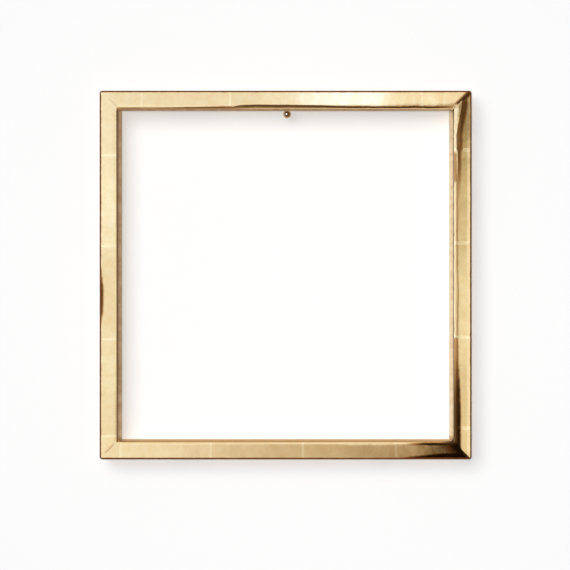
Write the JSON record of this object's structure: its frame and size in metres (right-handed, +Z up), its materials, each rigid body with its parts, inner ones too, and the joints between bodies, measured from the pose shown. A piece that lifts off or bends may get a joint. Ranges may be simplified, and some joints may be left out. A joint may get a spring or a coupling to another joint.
{
  "type": "float frame",
  "caption": "Square gilded float frame: mitred rails form a deep tray round a recessed ledge, hung on a brass-headed picture nail, with turn buttons and ring hangers behind.",
  "frame": {"origin": "the point where the picture nail's axis enters the wall, just below the frame's top ledge", "axes": "+X to the viewer's right, +Y into the wall, +Z up; the frame faces -Y"},
  "size_m": [0.337, 0.051, 0.334],
  "materials": {
    "gilded_rail": "burnished gold leaf over red-brown bole and gesso, leaf laps showing, bare basswood at the back",
    "toned_ledge": "matt toned gold over gesso",
    "brass": "polished and slightly tarnished",
    "zinc_plate": "bright zinc plate",
    "steel": "plain hardened steel",
    "felt": "dense dark felt"
  },
  "bodies": {
    "wall_nail": {"nail_head": "brass", "nail_pin": "steel"},
    "frame": {"top_rail": "gilded_rail", "bottom_rail": "gilded_rail", "left_rail": "gilded_rail", "right_rail": "gilded_rail", "top_ledge": "toned_ledge", "bottom_ledge": "toned_ledge", "left_ledge": "toned_ledge", "right_ledge": "toned_ledge", "top_ledge_pin_1": "steel", "top_ledge_pin_2": "steel", "bottom_ledge_pin_1": "steel", "bottom_ledge_pin_2": "steel", "left_ledge_pin_1": "steel", "left_ledge_pin_2": "steel", "right_ledge_pin_1": "steel", "right_ledge_pin_2": "steel", "v_nail_top_left_outer": "steel", "v_nail_top_left_inner": "steel", "v_nail_top_right_outer": "steel", "v_nail_top_right_inner": "steel", "v_nail_bottom_left_outer": "steel", "v_nail_bottom_left_inner": "steel", "v_nail_bottom_right_outer": "steel", "v_nail_bottom_right_inner": "steel", "left_strap": "zinc_plate", "right_strap": "zinc_plate", "left_strap_screw": "zinc_plate", "right_strap_screw": "zinc_plate", "top_left_button_screw": "brass", "top_right_button_screw": "brass", "bottom_left_button_screw": "brass", "bottom_right_button_screw": "brass", "upper_left_bumper": "felt", "upper_right_bumper": "felt", "lower_left_bumper": "felt", "lower_right_bumper": "felt"},
    "left_d_ring": {"left_d_ring": "zinc_plate"},
    "right_d_ring": {"right_d_ring": "zinc_plate"},
    "top_left_button": {"top_left_button": "brass"},
    "top_right_button": {"top_right_button": "brass"},
    "bottom_left_button": {"bottom_left_button": "brass"},
    "bottom_right_button": {"bottom_right_button": "brass"}
  },
  "joints": [
    {"name": "frame_swing", "type": "hinge", "parent": "wall_nail", "child": "frame", "pos_m": [0, 0, 0], "axis": [0, 1, 0], "range_deg": [-15, 15]},
    {"name": "left_d_ring_swing", "type": "hinge", "parent": "frame", "child": "left_d_ring", "pos_m": [-0.1634, -0.0036, -0.0645], "axis": [1, 0, 0], "range_deg": [0, 180]},
    {"name": "right_d_ring_swing", "type": "hinge", "parent": "frame", "child": "right_d_ring", "pos_m": [0.1606, -0.0036, -0.0645], "axis": [1, 0, 0], "range_deg": [0, 180]},
    {"name": "top_left_button_turn", "type": "hinge", "parent": "frame", "child": "top_left_button", "pos_m": [-0.0864, -0.0051, 0.014], "axis": [0, 1, 0], "continuous": true},
    {"name": "top_right_button_turn", "type": "hinge", "parent": "frame", "child": "top_right_button", "pos_m": [0.0836, -0.0051, 0.014], "axis": [0, 1, 0], "continuous": true},
    {"name": "bottom_left_button_turn", "type": "hinge", "parent": "frame", "child": "bottom_left_button", "pos_m": [-0.0864, -0.0051, -0.307], "axis": [0, 1, 0], "continuous": true},
    {"name": "bottom_right_button_turn", "type": "hinge", "parent": "frame", "child": "bottom_right_button", "pos_m": [0.0836, -0.0051, -0.307], "axis": [0, 1, 0], "continuous": true}
  ]
}
